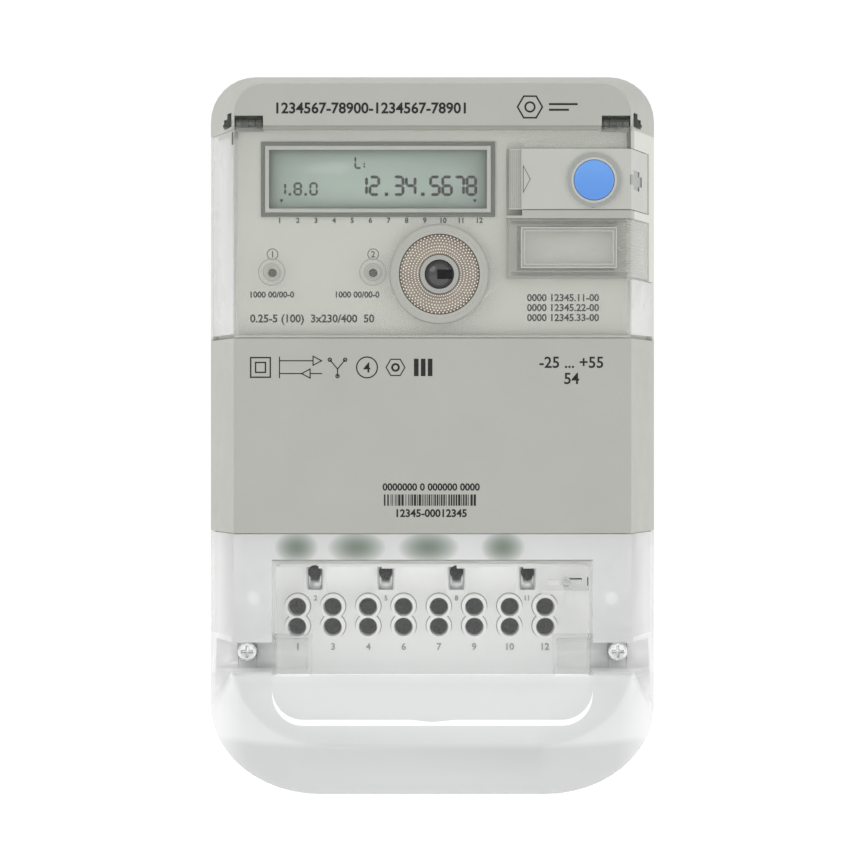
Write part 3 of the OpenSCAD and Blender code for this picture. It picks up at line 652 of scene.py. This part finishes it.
def digit(bm, mark, x, z, wide, tall, thick, y):
    """One seven-segment figure with slanted segment ends."""
    half = tall / 2
    spots = {"a": (0, tall, True), "g": (0, half, True), "d": (0, 0, True),
             "f": (0, half, False), "b": (wide, half, False),
             "e": (0, 0, False), "c": (wide, 0, False)}
    t, inset = thick / 2, thick * 0.08
    for name in SEGMENTS[mark]:
        dx, dz, flat = spots[name]
        x0, z0 = x + dx, z + dz
        if flat:
            x1 = x0 + wide - inset
            outline = [(x0 + inset, z0), (x0 + inset + t, z0 - t), (x1 - t, z0 - t),
                       (x1, z0), (x1 - t, z0 + t), (x0 + inset + t, z0 + t)]
        else:
            z1 = z0 + half - inset
            outline = [(x0, z0 + inset), (x0 + t, z0 + inset + t), (x0 + t, z1 - t),
                       (x0, z1), (x0 - t, z1 - t), (x0 - t, z0 + inset + t)]
        prism(bm, outline, y - INK, y)


def triangle(bm, x, z, r, y):
    prism(bm, [(x, z - r), (x + r, z + r * 0.7), (x - r, z + r * 0.7)], y - INK, y)


def display():
    """A reading of plain numerals, a short code, and small marks over and under them."""
    bm = bmesh.new()
    lo, hi = GLASS
    face = lo.y
    foot = lo.z + 6.3
    code = ("1.8.0", lo.x + 4.0, 2.5, 4.4, 0.85, 4.1, 2.1)
    reading = ("12.34.5678", lo.x + 35.0, 3.4, 6.9, 1.15, 4.75, 4.75)
    for text, x, wide, tall, thick, step, dot in (code, reading):
        for mark in text:
            if mark == ".":
                centre = x + (dot - step) / 2 + wide / 2
                bar(bm, centre - thick * 0.6, centre + thick * 0.6,
                    foot - thick / 2, foot + thick * 0.7, face - INK, face)
                x += dot
            else:
                digit(bm, mark, x, foot, wide, tall, thick, face)
                x += step
    digit(bm, "L", lo.x + 34.0, foot + 10.4, 2.3, 4.4, 0.75, face)
    digit(bm, "1", lo.x + 36.2, foot + 10.3, 1.3, 2.3, 0.7, face)
    for x in (lo.x + 5.1, hi.x - 5.6):
        triangle(bm, x, lo.z + 3.9, 0.8, face)
    piece("display_figures", bm, SEGMENT, "case")


def display_frame():
    """Dark band round the display's frame, painted shade of the groove there, and its pale inner
    lip.
    """
    lo, hi = box_mm("lcd_bezel")
    bm = bmesh.new()
    width = 1.5
    frame_line(bm, lo.x - 0.1, hi.x + 0.1, lo.z - 0.1, hi.z + 0.1, width, lo.y + 0.5, hi.y)
    piece("display_frame_outer", bm, FRAME_SHADE, "case", 0.15)
    bm = bmesh.new()
    frame_line(bm, lo.x + 1.6, hi.x - 1.6, lo.z + 1.6, hi.z - 1.6, width,
               lo.y - 0.05, hi.y - 0.2)
    piece("display_frame_inner", bm, FRAME_LIGHT, "case", 0.15)


# ---- Print ----

def deck_print():
    """Small plain numerals on the deck under the window: a scale, the lamps' numbers and lines."""
    bm = bmesh.new()
    y = DECK
    first, pitch = -59.8, 7.1
    for i in range(12):
        figures(bm, str(i + 1), first + i * pitch, 83.4, 2.0, y, align="CENTER", weight=0.055)
    for n, x in enumerate(LAMPS):
        ring(bm, x, 71.1, 1.95, 2.25, y - INK, y, 32)
        figures(bm, str(n + 1), x, 69.9, 2.4, y, align="CENTER")
    for x in (-71.8, -38.4):
        figures(bm, "1000 00/00-0", x, 54.2, 2.3, y, weight=0.05)
    figures(bm, "0.25-5 (100)  3x230/400  50", -71.4, 44.5, 3.0, y, weight=0.042)
    for i, z in enumerate((52.8, 48.9, 45.0)):
        figures(bm, f"0000 12345.{i + 1}{i + 1}-00", 37, z, 2.7, y, weight=0.042)
    piece("deck_print", bm, INK_DARK, "case")


def strip_print():
    """Stand-in line and a plain mark on the top strip."""
    bm = bmesh.new()
    figures(bm, "1234567-78900-1234567-78901", -61.9, 125.8, 4.1, FRONT, weight=0.034)
    centre = (38, 128.2)
    band(bm, circle(*centre, 5.2, 6), circle(*centre, 4.5, 6), *FRONT_INK)
    ring(bm, *centre, 1.5, 2.2, *FRONT_INK, 30)
    bar(bm, 45.4, 56.6, 128.9, 129.7, *FRONT_INK)
    bar(bm, 45.4, 53.2, 126.7, 127.5, *FRONT_INK)
    piece("strip_print", bm, INK_DARK, "case")


def arrow(bm, x0, x1, z, head, width):
    """A line from x0 to an open arrowhead at x1."""
    root = x1 - math.copysign(1, x1 - x0) * head * 1.9
    top, tip, bottom = (root, z + head), (x1, z), (root, z - head)
    stroke(bm, [(x0, z), (root, z)], width, *FRONT_INK)
    for a, b in ((top, tip), (tip, bottom), (bottom, top)):
        stroke(bm, [a, b], width, *FRONT_INK)


def panel_print():
    """Plain symbols in a row, a bar pattern and plain numerals on the mid panel."""
    bm = bmesh.new()
    z, line = 26.7, 0.42
    # two squares, one in the other
    frame_line(bm, -71.1, -62.9, z - 4.1, z + 4.1, 0.55, *FRONT_INK)
    frame_line(bm, -69.2, -64.8, z - 2.2, z + 2.2, 0.55, *FRONT_INK)
    # two arrows between a pair of lines
    x0, x1, head = -59.6, -43.2, 1.75
    stroke(bm, [(x0, z - 4), (x0, z + 4)], line, *FRONT_INK)
    arrow(bm, x0, x1, z + 2.6, head, line)
    arrow(bm, x1, -51, z - 2.4, head, line)
    stroke(bm, [(x0, z - 2.4), (-51, z - 2.4)], line, *FRONT_INK)
    # a star of three lines
    fork = (-37, z - 0.6)
    for end in ((-40, z + 3), (-34, z + 3), (-37, z - 3.4)):
        stroke(bm, [fork, end], line, *FRONT_INK)
        ring(bm, *end, line, 0.85, *FRONT_INK, 20)
    # a numeral in a circle, a hexagon and three bars
    ring(bm, -25.5, z, 3.8, 4.3, *FRONT_INK, 40)
    figures(bm, "4", -25.5, z - 1.9, 3.8, FRONT, align="CENTER")
    band(bm, circle(-14.4, z, 3.9, 6), circle(-14.4, z, 3.4, 6), *FRONT_INK)
    ring(bm, -14.4, z, 0.9, 1.7, *FRONT_INK, 28)
    for i in range(3):
        bar(bm, -7.2 + i * 2.7, -5.4 + i * 2.7, z - 3.4, z + 3.4, *FRONT_INK)
    figures(bm, "-25 ... +55", 54.2, 26.6, 4.3, FRONT, align="CENTER")
    figures(bm, "54", 54.2, 20.3, 4.3, FRONT, align="CENTER")
    # bars of random widths between two lines of numerals
    small = {"align": "CENTER", "weight": 0.042}
    figures(bm, "0000000 0 000000 0000", -0.5, -21.2, 2.7, FRONT, **small)
    draw = random.Random(5)
    x = -18.9
    while x < 17.2:
        wide = draw.choice((0.3, 0.3, 0.6, 0.9))
        bar(bm, x, min(x + wide, 17.8), -27.2, -22.8, *FRONT_INK)
        x += wide + draw.choice((0.35, 0.35, 0.7))
    figures(bm, "12345-00012345", -0.6, -31.5, 2.9, FRONT, **small)
    piece("panel_print", bm, INK_DARK, "case")


# ---- Optical port, lamps and button ----

def optical_port():
    """Rows of pale dots on the ring, ticks round it, and the sender behind the dark lens."""
    dots, ticks, sender = bmesh.new(), bmesh.new(), bmesh.new()
    face = box_mm("optical_ring")[0].y
    in_row = 64
    for i, r in enumerate((8.5, 9.7, 10.9, 12.1, 13.2, 14.2, 15.1)):
        for k in range(in_row):
            a = 2 * math.pi * (k + 0.5 * (i % 2)) / in_row
            centre = (PORT.x + r * math.cos(a), PORT.z + r * math.sin(a))
            prism(dots, circle(*centre, 0.16 + r * 0.006, 8), face - INK, face + INK)
    piece("optical_ring_dots", dots, DOTS, "case")
    boss = FRONT + 0.6
    turn = 2 * math.pi / 60
    for k in range(60):
        arc = [(PORT.x + r * math.cos(turn * (k + f)), PORT.z + r * math.sin(turn * (k + f)))
               for r, shares in ((17.0, (0, 0.33, 0.66)), (17.3, (0.66, 0.33, 0)))
               for f in shares]
        prism(ticks, arc, boss - INK, boss + INK)
    ring(ticks, PORT.x, PORT.z, 19.0, 19.2, boss - INK, boss + INK, 96)
    piece("port_ticks", ticks, LINE_GREY, "case")
    lens = box_mm("optical_lens")[0].y
    bar(sender, PORT.x - 0.9, PORT.x + 5.1, PORT.z - 1.9, PORT.z + 1.9, lens - INK, lens + 0.3)
    piece("optical_sender", sender, SEGMENT, "case", 0.1)


def lamp_rings():
    """Fine double lines round the pulse lamps, on the window."""
    bm = bmesh.new()
    for x in LAMPS:
        for r, wide in ((5.35, 0.45), (3.5, 0.3)):
            ring(bm, x, LAMP_Z, r - wide, r, FRONT - 0.4, FRONT - 0.2, 64)
    piece("lamp_rings", bm, RING_GREY, "window")


def button_rings():
    """Pale inner ring and grey outer ring on the button door's collar."""
    face = box_mm("button_door")[0].y
    inner = ("button_ring_inner", 8.0, 8.95, FRAME_LIGHT, 0.05)
    outer = ("button_ring_outer", 9.1, 10.6, RING_GREY, 0.3)
    for name, r0, r1, material, proud in (inner, outer):
        bm = bmesh.new()
        ring(bm, BUTTON.x, BUTTON.z, r0, r1, face - proud, face + 0.1, 96)
        piece(name, bm, material, "button_slider", 0.12)


def button_door_marks():
    """Outlined arrow that shows which way the door slides, and the tab behind its seal hole."""
    bm = bmesh.new()
    corners = [(35.4, 94.9), (38.1, 100.1), (35.4, 105.3), (35.4, 94.9)]
    stroke(bm, corners, 0.3, *FRONT_INK)
    piece("button_door_arrow", bm, INK_GREY, "button_slider")
    tab = bmesh.new()
    edge = [(x, FRONT + (x - HALF_FACE) / BEVEL_SLOPE) for x in (77.9, 83.4)]
    hull(tab, [(x - under, y, z) for x, y in edge for under in (0.35, 0.8)
               for z in (BUTTON.z - 4.6, BUTTON.z + 4.6)])
    piece("button_door_seal_tab", tab, RING_GREY, "button_slider")


def battery_door_marks():
    """Frame lines on the card, grip ribs on the right edge and the latch mark."""
    lines, ribs = bmesh.new(), bmesh.new()
    x0, x1, z0, z1 = 34.5, 71.9, 65.5, 81.4
    for inset, wide in ((0, 0.35), (1.3, 0.3)):
        frame_line(lines, x0 + inset, x1 - inset, z0 + inset, z1 - inset, wide, *FRONT_INK)
    stroke(lines, [(72.6, 73.4), (72.6, 72.4), (73.4, 72.4)], 0.3, *FRONT_INK)
    piece("battery_door_frame", lines, FRAME_LIGHT, "battery_slider")
    foot = box_mm("battery_door")[0].z + 2.2
    pitch, tall, long = 1.42, 0.4, 4.2
    for i in range(14):
        z = foot + i * pitch
        bar(ribs, 73.6, HALF_FACE - 0.3, z, z + tall, FRONT - 0.08, FRONT + 0.2)
        for depth in (1.2, 6.2, 11.2):
            x = HALF_FACE + depth * BEVEL_SLOPE
            rib = [(x, FRONT + depth), (x + long * BEVEL_SLOPE, FRONT + depth + long)]
            hull(ribs, [(x + out, y, h) for x, y in rib for out in (-0.1, 0.08)
                        for h in (z, z + tall)])
    piece("battery_door_ribs", ribs, DOOR_CLEAR, "battery_slider")


# ---- Window trim ----

def window_trim():
    """Serrated top edge of the left bevelled side, a dark bar by it as painted shade of a slot, and
    the seam's pale band.
    """
    teeth, slot, seam = bmesh.new(), bmesh.new(), bmesh.new()
    top, tall, pitch = 119.3, 2.4, 1.28
    for i in range(16):
        depth = 0.6 + i * pitch
        x = -(HALF_FACE + depth * BEVEL_SLOPE)
        hull(teeth, [(x + dx, FRONT + depth + dy, top - tall + dz)
                     for dx in (0.25, -0.12) for dy in (0, 0.6) for dz in (0, tall)])
    # Painted shade: a dark bar where the slot's shade would be.
    bar(slot, -HALF_FACE - 0.75, -HALF_FACE - 0.1, 113.6, 118.4, FRONT + 0.5, FRONT + 1.6)
    piece("window_teeth", teeth, FRAME_LIGHT, "window")
    piece("window_slot_shade", slot, FRAME_SHADE, "window")
    foot = box_mm("window_cover")[0].z
    bar(seam, -HALF_FACE + 0.4, HALF_FACE - 0.4, foot + 0.05, foot + 0.9,
        FRONT + 0.6, FRONT + 1.9)
    piece("window_foot", seam, FRAME_LIGHT, "window", 0.1)


def hinge_trim():
    """Sleeves on the window's knuckles, coloured dark as painted shade of their notch, and dark
    blocks at the hinge pins' ends that are painted shade of the notches there.
    """
    sleeves, ends = bmesh.new(), bmesh.new()
    pin = middle("hinge_pins")
    inset, low, full = 0.15, 1.6, 1.82
    for side in (-1, 1):
        for k in range(4):
            x0 = side * 66.5 + side * k * 2.55
            x1 = x0 + side * 2.4
            rings = []
            for x, r in ((x0, low), (x0 + side * inset, full),
                         (x1 - side * inset, full), (x1, low)):
                line = circle(pin.y, pin.z, r, 24)
                rings.append([sleeves.verts.new((x, y, z)) for y, z in line])
            for a, b in zip(rings, rings[1:]):
                for i in range(24):
                    j = (i + 1) % 24
                    sleeves.faces.new((a[i], a[j], b[j], b[i]))
            sleeves.faces.new(rings[0])
            sleeves.faces.new(rings[-1][::-1])
        # Outline of the shade in the notch beside the pin's end.
        foot = [(78.7, 120.9), (82.1, 120.9), (82.1, 121.9), (80.6, 122.6), (80.3, 126),
                (79.2, 126.2), (78.7, 122.6)]
        prism(ends, [(side * x, h) for x, h in foot], FRONT + 6, FRONT + 13.9)
    piece("hinge_sleeves", sleeves, HINGE_SHADE, "window")
    piece("hinge_notch_shade", ends, HINGE_SHADE, "case", 0.15)


# ---- Terminals ----

def terminal_figures():
    """Raised numbers under the collars and over the link screws, and the block's fine parts.

    These are the rail under the panel's top edge, grey rings of painted shade round the collars
    and the screw heads, and black bars of painted shade in the slots beside the plunger.
    """
    bm = bmesh.new()
    lo, hi = box_mm("clamp_screws")
    head = 3.3
    first, last = lo.x + head, hi.x - head
    pitch = (last - first) / 7
    for i, n in enumerate((1, 3, 4, 6, 7, 9, 10, 12)):
        figures(bm, str(n), first + i * pitch, -86.6, 2.7, BLOCK_FACE, 0.3, "CENTER")
    for i, n in enumerate((2, 5, 8, 11)):
        figures(bm, str(n), first + (2 * i + 0.5) * pitch, -66.6, 2.0, BLOCK_FACE, 0.3, "CENTER")
    piece("terminal_figures", bm, INNER, "case")
    rail = bmesh.new()
    bar(rail, -61.5, 61.5, -52.7, -51.3, -47.2, -46.05)
    for x0, x1 in ((-45.7, -42.4), (-20.4, -12.5), (9.7, 18.4), (36.4, 42.4)):
        bar(rail, x0, x1, -53.3, -51.2, -48.0, -47.1)
    piece("terminal_rail", rail, WHITE, "case", 0.15)
    edges = bmesh.new()
    for i in range(8):
        x = first + i * pitch
        for z in BORE_ROWS:
            # Painted shade: grey rings where the shade round the collars and the screw heads falls.
            ring(edges, x, z, 4.9, 5.35, BLOCK_FACE - 0.05, BLOCK_FACE + 0.2, 48)
            ring(edges, x, z, 3.5, 3.75, SCREW_HEADS, SCREW_HEADS + 0.24, 40)
    piece("terminal_collar_shade_rings", edges, RING_GREY, "case")
    slots = bmesh.new()
    # Painted shade: black bars where the slots' shade would be.
    for x0, x1, z0, z1 in ((55.2, 60.4, -59.5, -57.6), (62.6, 63.3, -60.6, -57.2)):
        bar(slots, x0, x1, z0, z1, BLOCK_FACE - 0.06, BLOCK_FACE + 0.5)
    piece("terminal_slot_shade", slots, SEGMENT, "case")


def cover_lip():
    """Foot of the clear panel, painted bright as a highlight where its lower wall faces up to the
    light, with a little painted glow: it runs out up the round corners and dips in the middle.
    """
    half, foot, r = PANEL_HALF - 0.1, PANEL_BOTTOM + 0.1, PANEL_R - 0.1
    rise, dip, dip_half = 2.3, 0.9, 9
    turns = [math.pi / 2 * k / 14 for k in range(15)]
    left = [(-half + r - r * math.cos(a), foot + r - r * math.sin(a)) for a in turns]
    right = [(-x, z) for x, z in left[::-1]]
    lower = left + [(-dip_half, foot), (0, foot), (dip_half, foot)] + right
    upper = [(x, z + (rise if x else rise - dip)) for x, z in lower]
    bm = bmesh.new()
    band(bm, lower, upper, FRONT - INK, FRONT + 1.2, closed=False)
    piece("cover_panel_lip", bm, LIP_HIGHLIGHT, "terminal_lid")


def back_marks():
    """Ejector-pin rings and a plain moulded mark on the back of the tub."""
    bm = bmesh.new()
    proud = 0.04
    for x in (-55, 0, 55):
        for z in (-60, 10, 80):
            ring(bm, x, z, 3.0, 3.5, -proud, 0.0, 40)
    frame_line(bm, -22, 22, 34, 56, 0.6, -proud, 0.0)
    piece("back_marks", bm, FRAME_LIGHT, "case")


display()
display_frame()
deck_print()
strip_print()
panel_print()
optical_port()
lamp_rings()
button_rings()
button_door_marks()
battery_door_marks()
window_trim()
hinge_trim()
terminal_figures()
cover_lip()
back_marks()


# ---- Floor, light and camera ----

def floor():
    """Pale paper far under the object."""
    mesh = bpy.data.meshes.new("floor")
    half, level = 9.0, -0.45
    corners = [(x, z, level) for x, z in box_outline(-half, half, -half, half)]
    mesh.from_pydata(corners, [], [(0, 1, 2, 3)])
    s = Shader("floor_paper", Roughness=0.9, Emission_Strength=0.25)
    s.main.inputs["Emission Color"].default_value = (1, 1, 1, 1)
    s.set("Base Color", s.blend(s.noise(3, 3), (0.93, 0.93, 0.93), (0.96, 0.96, 0.96)))
    mesh.materials.append(s.mat)
    obj = bpy.data.objects.new("floor", mesh)
    bpy.context.scene.collection.objects.link(obj)


def soft_light(name, place, size, power):
    """A large lamp that faces the object's middle."""
    data = bpy.data.lights.new(name, "AREA")
    data.shape = "RECTANGLE"
    data.size, data.size_y = size
    data.energy = power
    obj = bpy.data.objects.new(name, data)
    obj.location = place
    obj.rotation_euler = (-Vector(place)).to_track_quat("-Z", "Y").to_euler()
    bpy.context.scene.collection.objects.link(obj)


def camera():
    """Straight on, a metre in front of the face, for a square picture."""
    distance, height = 1.0, 0.0029
    data = bpy.data.cameras.new("camera")
    data.sensor_width = 36
    data.lens = 107.8
    data.shift_x = -0.0046
    data.clip_start, data.clip_end = 0.05, 40
    obj = bpy.data.objects.new("camera", data)
    obj.location = (0, FRONT * MM - distance, height)
    obj.rotation_euler = (math.pi / 2, 0, 0)
    bpy.context.scene.collection.objects.link(obj)
    bpy.context.scene.camera = obj


def studio():
    """White surroundings, dimmer in front of the object, so that its sides catch more light."""
    world = bpy.data.worlds.new("studio")
    world.use_nodes = True
    tree = world.node_tree
    place = tree.nodes.new("ShaderNodeTexCoord")
    split = tree.nodes.new("ShaderNodeSeparateXYZ")
    fade = tree.nodes.new("ShaderNodeMapRange")
    reach = {"From Min": -1.0, "From Max": 0.1, "To Min": 0.66, "To Max": 1.02}
    for key, value in reach.items():
        fade.inputs[key].default_value = value
    tree.links.new(place.outputs["Generated"], split.inputs[0])
    tree.links.new(split.outputs["Y"], fade.inputs["Value"])
    tree.links.new(fade.outputs["Result"], tree.nodes["Background"].inputs["Strength"])
    tree.nodes["Background"].inputs["Color"].default_value = (1, 1, 1, 1)
    bpy.context.scene.world = world
    bpy.context.scene.view_settings.view_transform = "Standard"
    bpy.context.scene.cycles.transparent_max_bounces = 32


studio()
floor()
soft_light("key", (-1.6, -1.1, 1.5), (1.3, 1.4), 12)
soft_light("side", (1.8, -0.6, 0.6), (1.0, 1.4), 6)
camera()
